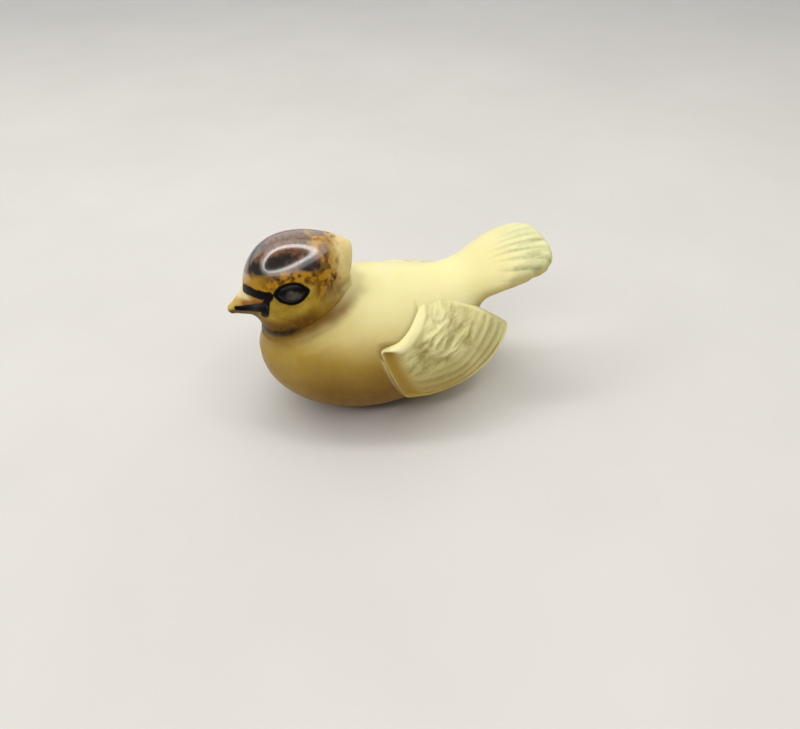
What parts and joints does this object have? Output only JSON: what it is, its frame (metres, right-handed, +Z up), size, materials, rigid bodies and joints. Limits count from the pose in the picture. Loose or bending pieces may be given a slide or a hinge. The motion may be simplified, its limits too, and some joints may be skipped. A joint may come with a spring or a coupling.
{
  "type": "hood ornament",
  "caption": "Small bird hood ornament with a glossy stained head, carved folded wings and a raised fan tail, and a threaded insert in its flat seat.",
  "frame": {"origin": "centre of the flat seat under the belly, on the axis of the threaded insert", "axes": "+Z up from the seat, the bird faces -Y, its left flank is on +X and its tail points to +Y"},
  "size_m": [0.0274, 0.0483, 0.0284],
  "materials": {
    "body": "satin, slightly translucent",
    "head": "clear lacquer over brown stain",
    "wing": "satin, olive wash in the carving",
    "eye": "polished",
    "dowel": "drawn",
    "pins": "drawn",
    "insert": "turned and knurled"
  },
  "bodies": {
    "root": {"body": "body", "head": "head", "eye_left": "eye", "eye_right": "eye", "wing_left": "wing", "wing_right": "wing", "neck_dowel": "dowel", "wing_pins_left": "pins", "wing_pins_right": "pins", "threaded_insert": "insert"}
  },
  "joints": []
}
